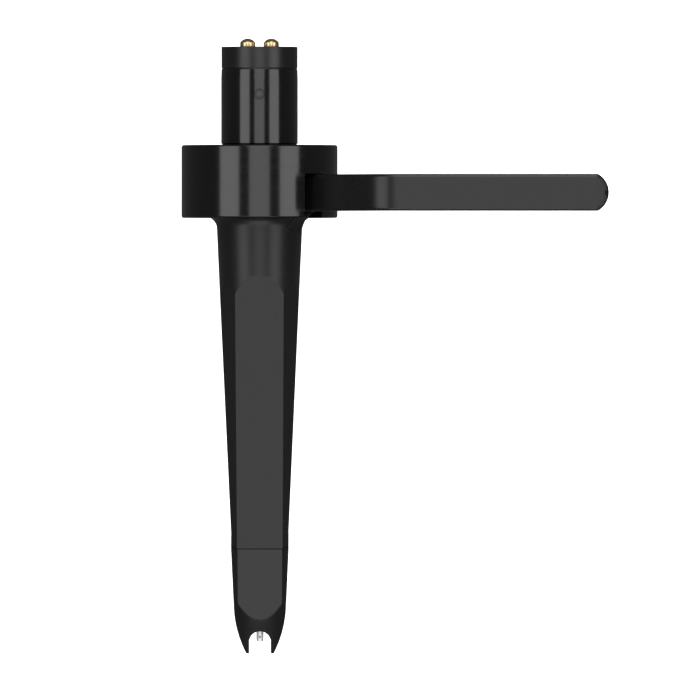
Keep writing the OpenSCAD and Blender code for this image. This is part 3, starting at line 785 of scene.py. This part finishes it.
screws = []
for end in (-1, 1):
    head = [(0, 0.01), (HEAD_R - 0.02, 0.01), (SCREW_R, HEAD_R - SCREW_R), (SCREW_R, 1.45),
            (0, 1.45)]
    slot_low = (-1.2, end * SCREW_AT - 0.1, -0.2)
    slot_high = (1.2, end * SCREW_AT + 0.1, 0.2)
    screws.append(carved(skin("screw", stud(head, 0, end * SCREW_AT, on_belly)[2:-2]),
                         skin("slot", box_grid(slot_low, slot_high, turn=on_belly))))
piece("cover_screws", joined("cover_screws", *screws), black_steel, "root", "black_steel",
      "belly_cover_screws")

# ---- Finger lift ----
# Bent strip of steel with softened edges and a round end, finished like the body. Its
# foot sits in the collar's pocket, and it rises steeply from there and then levels out.

LIFT_REACH = 36.33
LIFT_Z = 13.8
LIFT_T = 1.2
LIFT_RISE = math.radians(50)
BEND_R = 4.8
BEND_X = 14.6
LIFT_END_R = 2.2
LIFT_EDGE = 0.42


def lift_rows():
    """The strip as a flat bar, then bent. Along the bar u, the half width is that of the
    straight edges, or of the round end by Pythagoras, less the inset of each point of
    the softened edge. The bar's middle line climbs at 50 degrees, turns level on an arc
    and runs on to the tip."""
    mid_r = BEND_R - LIFT_T / 2
    climb = (BEND_X - BEND_R * math.sin(LIFT_RISE) - 4.0) / math.cos(LIFT_RISE)
    bend = mid_r * LIFT_RISE
    level = LIFT_REACH - LIFT_END_R - BEND_X
    us = np.concatenate((
        np.linspace(0, climb, 12)[:-1], climb + np.linspace(0, bend, 40)[:-1],
        climb + bend + np.linspace(0, level, 10)[:-1],
        climb + bend + level + LIFT_END_R * np.sin(np.linspace(0, np.pi / 2, 40))))
    turn = np.linspace(0, np.pi / 2, 10)
    inset = LIFT_EDGE * (1 - np.sin(turn))
    height = LIFT_T / 2 - LIFT_EDGE * (1 - np.cos(turn))
    inset = np.concatenate((inset, inset[::-1]))
    height = np.concatenate((height, -height[::-1]))
    tip_at = climb + bend + level
    rows = []
    for u in us:
        limit = tip_at + LIFT_END_R - inset
        here = np.minimum(u, limit)
        half = np.minimum(LIFT_W / 2 - inset, np.sqrt(np.maximum(
            (LIFT_END_R - inset) ** 2 - np.maximum(here - tip_at, 0) ** 2, 0)))
        across = np.concatenate((half, -half[::-1]))
        w = np.concatenate((height, height[::-1]))
        here = np.concatenate((here, here[::-1]))
        lean = LIFT_RISE - np.clip((here - climb) / mid_r, 0, LIFT_RISE)
        x0 = BEND_X - mid_r * np.sin(lean) + np.maximum(here - climb - bend, 0)
        z0 = LIFT_Z - BEND_R + mid_r * np.cos(lean)
        back = np.minimum(here - climb, 0)
        x0 = x0 + back * math.cos(LIFT_RISE)
        z0 = z0 + back * math.sin(LIFT_RISE)
        rows.append(np.column_stack((x0 - w * np.sin(lean), LIFT_Y + across,
                                     z0 + w * np.cos(lean))))
    return np.array(rows)


strip = carved(skin("strip", lift_rows()),
               skin("trim", box_grid((-10, -20, -10), (NOTCH_X[0] + 0.02, 20, 30))),
               skin("trim_low", box_grid((-10, -20, -10), (30, 20, FOOT_Z[0]))))
foot = skin("foot", box_grid((FOOT_X[0], LIFT_Y - LIFT_W / 2, FOOT_Z[0]),
                             (FOOT_X[1], LIFT_Y + LIFT_W / 2, FOOT_Z[1]), 0.05))
lift_black = satin_black("lift_black", rough=0.27)
piece("lift", joined("lift", strip, foot), lift_black, "root", "satin_black", "finger_lift")

# ---- Finger lift screw ----
# Headless screw, blackened steel, through the collar's back into the lift's foot.

lift_screw = turned([(0, GROOVE - COLLAR_LEN), (0.6, GROOVE - COLLAR_LEN), (0.6, LIFT_Y),
                     (0, LIFT_Y)], 0.05, around=48, middle=(4.0, 0, 3.35))
screw_slot = box_grid((3, -8, 3.25), (5, -7.2, 3.45))
piece("lift_screw", carved(skin("lift_screw", lift_screw[2:-2]), skin("slot", screw_slot)),
      black_steel, "root", "black_steel", "finger_lift_screw")

# ---- Stylus socket ----
# Moulded plastic block, pressed into the open end of the body. It guides the stylus
# unit's sleeve and holds the four pole pins.

SOCKET_S = (-5.3, -0.1)
SOCKET_R = 1.23
POLE_AT = 1.25
POLE_R = 0.4


def on_unit(grid):
    """From the stylus unit's own frame to the cartridge's: its Z runs forward and down
    the unit's axis, and its Y points up from it."""
    x, up, s = grid[..., 0], grid[..., 1], grid[..., 2]
    return np.stack((x, axis_y - s * math.cos(UNIT_TILT) - up * math.sin(UNIT_TILT),
                     axis_z - s * math.sin(UNIT_TILT) + up * math.cos(UNIT_TILT)), -1)


def rod(name, radius, s0, s1, x=0.0, up=0.0, cut=0.04, bore=0.0, around=48):
    """Round bar or tube along the unit's axis."""
    outline = [(bore, s0), (radius, s0), (radius, s1), (bore, s1)]
    grid = turned(outline, cut, around=around, axis="z", middle=(x, up, 0))
    return skin(name, on_unit(grid if bore else grid[2:-2]), wrap_rows=bool(bore))


def quarter_rods(name, radius, s0, s1, at, **more):
    return [rod(name, radius, s0, s1, x * at, up * at, **more)
            for x, up in QUARTERS.values()]


def cavity_block(name, s0, s1, inset):
    """Block between two planes across the unit's axis, with the cavity's outline."""
    grid = body_rows(np.arange(-20, -44, -0.5), inset, 0.2)
    s = along_unit(grid)
    wanted = np.linspace(s0, s1, 5)
    cols = [[np.interp(wanted, s[:, j], grid[:, j, k]) for k in range(3)]
            for j in range(grid.shape[1])]
    return skin(name, np.transpose(cols, (2, 0, 1)))


CAVITY_GAP = 0.02
THROUGH_SOCKET = (-9, 3)
socket = carved(cavity_block("socket", *SOCKET_S, WALL + CAVITY_GAP),
                rod("bore", SOCKET_R, *THROUGH_SOCKET, cut=0, around=96),
                *quarter_rods("hole", POLE_R, *THROUGH_SOCKET, POLE_AT, cut=0))
piece("socket", socket, black_plastic, "root", "black_plastic", "stylus_socket")

# ---- Pole pins ----
# Four soft-iron pins, pressed through the socket. They carry the magnet's field to the
# coils, and their front ends stand round the magnet's suspension.

POLE_S = (-16.6, 2.2)
POLE_FIT = 0.004
soft_iron = metal("soft_iron", (0.42, 0.41, 0.4), 0.35)
pins = quarter_rods("pole", POLE_R - POLE_FIT, *POLE_S, POLE_AT)
piece("poles", joined("poles", *pins), soft_iron, "root", "soft_iron", "pole_pins")

# ---- Coils ----
# Four coils of fine enamelled copper wire, one wound round each pole pin. Their turns
# lie side by side.

COIL_R = 1.0
COIL_S = (-15.6, -9.2)
TURNS = 40
copper = metal("copper_winding", (0.72, 0.3, 0.13), 0.3, 14000)
ridge = np.linspace(*COIL_S, TURNS * 6 + 1)
coil_outline = [(POLE_R + 0.01, COIL_S[0]), *zip(
    COIL_R - 0.05 + 0.04 * np.abs(np.sin(np.pi * TURNS * (ridge - ridge[0])
                                        / (COIL_S[1] - COIL_S[0]))), ridge),
    (POLE_R + 0.01, COIL_S[1])]
COIL_NODES = {"left_signal": "coil_left_upper", "left_ground": "coil_left_lower",
              "right_signal": "coil_right_upper", "right_ground": "coil_right_lower"}
for line, (x_side, z_side) in QUARTERS.items():
    rings = turned(coil_outline, 0, 1, 48, "z", (x_side * POLE_AT, z_side * POLE_AT, 0))
    piece(COIL_NODES[line] + "_wire", skin(COIL_NODES[line], on_unit(rings), wrap_rows=True),
          copper, "root", "copper_winding", COIL_NODES[line])

# ---- Yoke plate ----
# Soft-iron plate behind the coils, riveted on the pole pins' ends to close the magnetic
# path.


def bar(name, s0, s1, half, inset, cut=0.05):
    """Square bar along the unit's axis, trimmed to the cavity's outline."""
    return carved(skin(name, box_grid((-half, -half, s0), (half, half, s1), cut, on_unit)),
                  cavity_block("trim", s0 - 0.5, s1 + 0.5, inset), operation="INTERSECT")


YOKE_S = (-16.4, -15.8)
YOKE_HALF = 2.35
YOKE_INSET = 0.2
THROUGH_YOKE = (-18, -14)
yoke = carved(bar("yoke", *YOKE_S, YOKE_HALF, WALL + YOKE_INSET),
              *quarter_rods("hole", POLE_R, *THROUGH_YOKE, POLE_AT, cut=0))
piece("yoke", yoke, soft_iron, "root", "soft_iron", "yoke_plate")

# ---- Shield can ----
# Thin soft-iron can round the coils, folded and spot welded, that keeps hum out.

CAN_S = (-16.4, -9.0)
CAN_HALF = 2.55
CAN_T = 0.15
can = carved(bar("can", *CAN_S, CAN_HALF, WALL + CAVITY_GAP),
             bar("can_room", CAN_S[0] - 1, CAN_S[1] + 1, CAN_HALF - CAN_T,
                 WALL + CAVITY_GAP + CAN_T, 0))
piece("can", can, soft_iron, "root", "soft_iron", "shield_can")

# ---- Terminal board ----
# Small circuit board behind the yoke, where the coils' ends and the leads meet. Glass
# laminate under a green varnish.

TERMINAL_AT = 1.6
TERMINAL_HOLE_R = 0.25
BOARD_S = (-17.6, -17.0)
BOARD_HALF = 2.1
BOARD_EDGE = 0.02
THROUGH_BOARD = (-19, -15)
board_green = moulded("circuit_board", (0.02, 0.13, 0.05), 0.3)
board = carved(bar("board", *BOARD_S, BOARD_HALF, WALL + CAVITY_GAP, BOARD_EDGE),
               *quarter_rods("hole", TERMINAL_HOLE_R, *THROUGH_BOARD, TERMINAL_AT, cut=0))
piece("board", board, board_green, "root", "circuit_board", "terminal_board")

# ---- Terminal pins ----
# Four tinned pins through the board, with a small cone of solder round each.

TERMINAL_R = 0.246
TERMINAL_S = (-19.2, -16.9)
solder = [skin("solder", on_unit(turned(
    [(0.2, BOARD_S[0]), (0.42, BOARD_S[0]), (0.3, -17.75), (0.252, -18.1), (0.2, -18.1)], 0.05, 2, 32,
    "z", (x * TERMINAL_AT, up * TERMINAL_AT, 0))), wrap_rows=True)
    for x, up in QUARTERS.values()]
tin = metal("tinned_pin", (0.72, 0.72, 0.7), 0.28)
terminals = quarter_rods("terminal", TERMINAL_R, *TERMINAL_S, TERMINAL_AT)
piece("terminals", joined("terminals", *terminals, *solder), tin, "root", "tinned_pin",
      "terminal_pins")

# ---- Leads ----
# Four insulated copper leads, from the board's pins to the tails of the contacts, in the
# usual colours: white and blue for the left channel, red and green for the right.

LEAD_R = 0.2
LEAD_BLEND = 9.0
LEAD_SWAY = 0.15
LEAD_COLOURS = {"left_signal": ("lead_white", (0.75, 0.74, 0.7)),
                "left_ground": ("lead_blue", (0.03, 0.09, 0.42)),
                "right_signal": ("lead_red", (0.5, 0.02, 0.015)),
                "right_ground": ("lead_green", (0.02, 0.24, 0.05))}


def lead_rows(x_side, z_side):
    """Round lead along Y. Its middle line goes from the terminal's place to the contact's
    by a smooth step over the first 9 mm, and sways by one wave of a sine."""
    start = on_unit(np.array((x_side * TERMINAL_AT, z_side * TERMINAL_AT, TERMINAL_S[0])))
    goal = np.array((x_side, 0, z_side)) * CONTACT_PITCH / 2
    run = np.linspace(0, TAIL_Y - start[1], 105)
    u = np.minimum(1, run / LEAD_BLEND)
    w = u * u * (3 - 2 * u)
    sway = LEAD_SWAY * np.sin(2 * np.pi * run / run[-1]) * x_side
    a = np.linspace(0, 2 * np.pi, 16, endpoint=False)
    x = start[0] + (goal[0] - start[0]) * w + sway
    z = start[2] + (goal[2] - start[2]) * w + sway * z_side
    return np.stack((x[:, None] + LEAD_R * np.cos(a), start[1] + run[:, None] + 0 * a,
                     z[:, None] + LEAD_R * np.sin(a)), -1)


for line, (x_side, z_side) in QUARTERS.items():
    colour_slot, tint = LEAD_COLOURS[line]
    piece("wire_" + line, skin("lead", lead_rows(x_side, z_side)),
          moulded(colour_slot, tint, 0.35), "root", colour_slot, "lead_" + line)

# ---- Stylus holder ----
# The pull-off front of the cartridge, moulded in black plastic and lacquered like the
# body. Its top carries on the body's flat and falls off over a rounded nose to a fork,
# which shields the cantilever.

TIP_Y = -53.2
UNDERSIDE_Z = -17.3
FORK_Y = -52.0
FORK_HW = 1.134
NOSE_Y = -49.56
NOSE_R = 5.6
NOSE_FALL = math.radians(42)
ARC_R = 11.5
ARC_AT = (-8.753, -47.87)
PIVOT_S = 2.5


def soft_least(blend, *levels):
    """The least of several levels, with each crossing rounded: half of the sum of two,
    less half the root of their difference squared plus the blend squared."""
    least = levels[0]
    for level in levels[1:]:
        least = (least + level - np.sqrt((least - level) ** 2 + blend ** 2)) / 2
    return least


def holder_rows():
    """Rows across the holder. Its half width follows the body's taper, then an arc of
    radius 11.5. The top is the least of the flat, the side chamfers and a nose barrel of
    radius 5.6 that falls at 42 degrees. The bottom is the greatest of the belly's three
    planes and the level underside."""
    y = np.concatenate((np.linspace(-39.5, -46, 50)[:-1],
                        np.linspace(-46, TIP_Y, 190)))[:, None]
    taper = half_w(BAND_Y) + 0.0455 * np.minimum(y - SPLIT_Y, 0)
    arc = ARC_AT[0] + np.sqrt(ARC_R ** 2 - np.minimum(y - ARC_AT[1], 0) ** 2)
    width = np.minimum(taper, np.where(y > ARC_AT[1], 99, arc))
    edge = 0.06
    u = np.sin(np.linspace(-1, 1, 121) * np.pi / 2) * 0.35 + np.linspace(-1, 1, 121) * 0.65
    x = width * u[None, :]
    b = top_z(y) + CHAMFER * flat_edge(y)
    barrel = (top_z(NOSE_Y) + math.tan(NOSE_FALL) * (y - NOSE_Y)
              - (NOSE_R - np.sqrt(NOSE_R ** 2 - x ** 2)) / math.cos(NOSE_FALL))
    top = soft_least(0.05, top_z(y) + 0 * x, b - CHAMFER * np.sqrt(x * x + 1e-4), barrel)
    bottom = -soft_least(0.1, -belly_z(y) + 0 * x,
                         BELLY_HW - belly_z(y) - np.abs(x), -UNDERSIDE_Z + 0 * x)
    drop = edge - np.sqrt(np.maximum(edge ** 2 - np.maximum(
        np.abs(x) - width + edge, 0) ** 2, 0))
    top, bottom = top - drop, np.minimum(bottom + drop, top - 0.05)
    yy = y + 0 * x
    over = np.stack((x, yy, top), -1)
    under = np.stack((x, yy, bottom), -1)[:, ::-1]
    mix = np.array((0.25, 0.5, 0.75))[None, :, None]
    right = over[:, -1:] * (1 - mix) + under[:, :1] * mix
    left = under[:, -1:] * (1 - mix) + over[:, :1] * mix
    return np.concatenate((over, right, under, left), 1)


def unit_slab(name, s0, s1, x, up0, up1, cut=0.0):
    """Block in the unit's own frame."""
    return skin(name, box_grid((-x, up0, s0), (x, up1, s1), cut, on_unit))


a = np.linspace(0, np.pi, 49)
fork_plan = np.vstack((np.column_stack((FORK_HW * np.cos(a), FORK_Y + FORK_HW * np.sin(a))),
                       [(-FORK_HW, -60), (FORK_HW, -60)]))
fork = np.stack([np.column_stack((fork_plan, np.full(len(fork_plan), z)))
                 for z in (-30.0, 0.0)])
holder = carved(skin("holder", holder_rows()),
                unit_slab("back", -20, JOINT_GAP, 20, -20, 20),
                rod("sleeve_room", 1.2, -1, 3.2, cut=0, around=96),
                rod("throat", 0.95, 1, 7, cut=0, around=64),
                *quarter_rods("pole_room", 0.55, -1, 2.3, POLE_AT, cut=0),
                unit_slab("channel", 6, 40, FORK_HW, -30, 1.4),
                skin("fork", fork))
holder_black = satin_black("holder_black", rough=0.3)
piece("holder", holder, holder_black, "stylus_unit", "satin_black", "stylus_holder")

# ---- Stylus sleeve ----
# Thin brass tube, drawn and cut, glued into the holder. It slides in the body's socket
# and holds the suspension.

SLEEVE_BORE = 0.9
brass = metal("brass", (0.68, 0.5, 0.22), 0.25)
piece("sleeve", rod("sleeve", 1.2, -5, 3.2, bore=SLEEVE_BORE, around=96), brass,
      "stylus_unit", "brass", "stylus_sleeve")

# ---- Wire anchor ----
# Brass ring, pressed into the sleeve's tail. The tie wire is glued in it.

piece("anchor", rod("anchor", SLEEVE_BORE, -3.4, -2.8, bore=0.45), brass, "stylus_unit",
      "brass", "wire_anchor")

# ---- Damper ring ----
# Outer part of the suspension, moulded in soft black rubber and fixed in the sleeve.

rubber = moulded("damper_rubber", (0.016, 0.016, 0.017), 0.65, 4000, 1.4)
piece("damper_outer", rod("damper", SLEEVE_BORE, PIVOT_S - 0.25, PIVOT_S + 0.25, bore=0.64),
      rubber, "stylus_unit", "damper_rubber", "damper_ring")

# ---- Damper core ----
# Inner part of the suspension, of the same rubber. It twists sideways with the
# cantilever.

piece("damper_inner", rod("damper", 0.6, PIVOT_S - 0.25, PIVOT_S + 0.25, bore=0.42),
      rubber, "suspension_core", "damper_rubber", "damper_core")

# ---- Magnet ----
# Sintered rod magnet, glued on the cantilever's inner end between the four poles.

alloy = metal("magnet_alloy", (0.3, 0.3, 0.32), 0.4)
piece("rod_magnet", rod("magnet", 0.5, -0.6, 2.1, bore=0.07), alloy, "cantilever_assembly",
      "magnet_alloy", "magnet")

# ---- Tie wire ----
# Fine drawn steel wire, through the magnet, that holds the cantilever back against its
# suspension.

steel = metal("steel_wire", (0.6, 0.6, 0.6), 0.25)
piece("tie", rod("tie", 0.068, -3.2, 2.1, cut=0.01, around=24), steel,
      "cantilever_assembly", "steel_wire", "tie_wire")

# ---- Cantilever ----
# Thin drawn aluminium tube, left bare and bright, that carries the stylus at its open
# front end.

CANTILEVER_R = 0.38
STYLUS_S = 11.25
STYLUS_R = 0.13
bright = metal("bare_aluminium", (0.95, 0.95, 0.95), 0.35, darker=0.95, metallic=0.35)
tube_outline = [(0, 2.1), (CANTILEVER_R, 2.1), (CANTILEVER_R, 11.66), (0.27, 11.66),
                (0.27, 3.0), (0, 3.0)]
tube_mesh = skin("cantilever", on_unit(turned(tube_outline, 0.03, 3, 64, "z")[2:-2]))
stylus_at = on_unit(np.array((0, 0, STYLUS_S)))
hole = turned([(0, -30), (STYLUS_R, -30), (STYLUS_R, 0), (0, 0)], 0, 1, 32, "z",
              (0, stylus_at[1], 0))
piece("tube", carved(tube_mesh, skin("hole", hole)), bright, "cantilever_assembly",
      "bare_aluminium", "cantilever")

# ---- Stylus tip ----
# Diamond ground to a fine cone on a short rod, which is set through the tube and glued.

STYLUS_Z = -18.4
CONE = 0.4
diamond, diamond_shader, diamond_where = new_material("diamond", Specular_IOR_Level=1.0)
feed(diamond_shader, diamond,
     Base_Color=tinted(noise(diamond_where, 9000), (0.3, 0.31, 0.33), (0.46, 0.47, 0.5)),
     Roughness=noise(diamond_where, 20000) * 0.1 + 0.08)
stylus_top = stylus_at[2] + CANTILEVER_R + 0.1
tip_outline = [(0, STYLUS_Z), (STYLUS_R / 6, STYLUS_Z), (STYLUS_R, STYLUS_Z + CONE),
               (STYLUS_R, stylus_top), (0, stylus_top)]
piece("tip", skin("tip", turned(tip_outline, 0.02, 3, 32, "z",
                                (0, stylus_at[1], 0))[2:-2]),
      diamond, "cantilever_assembly", "diamond", "stylus_tip")
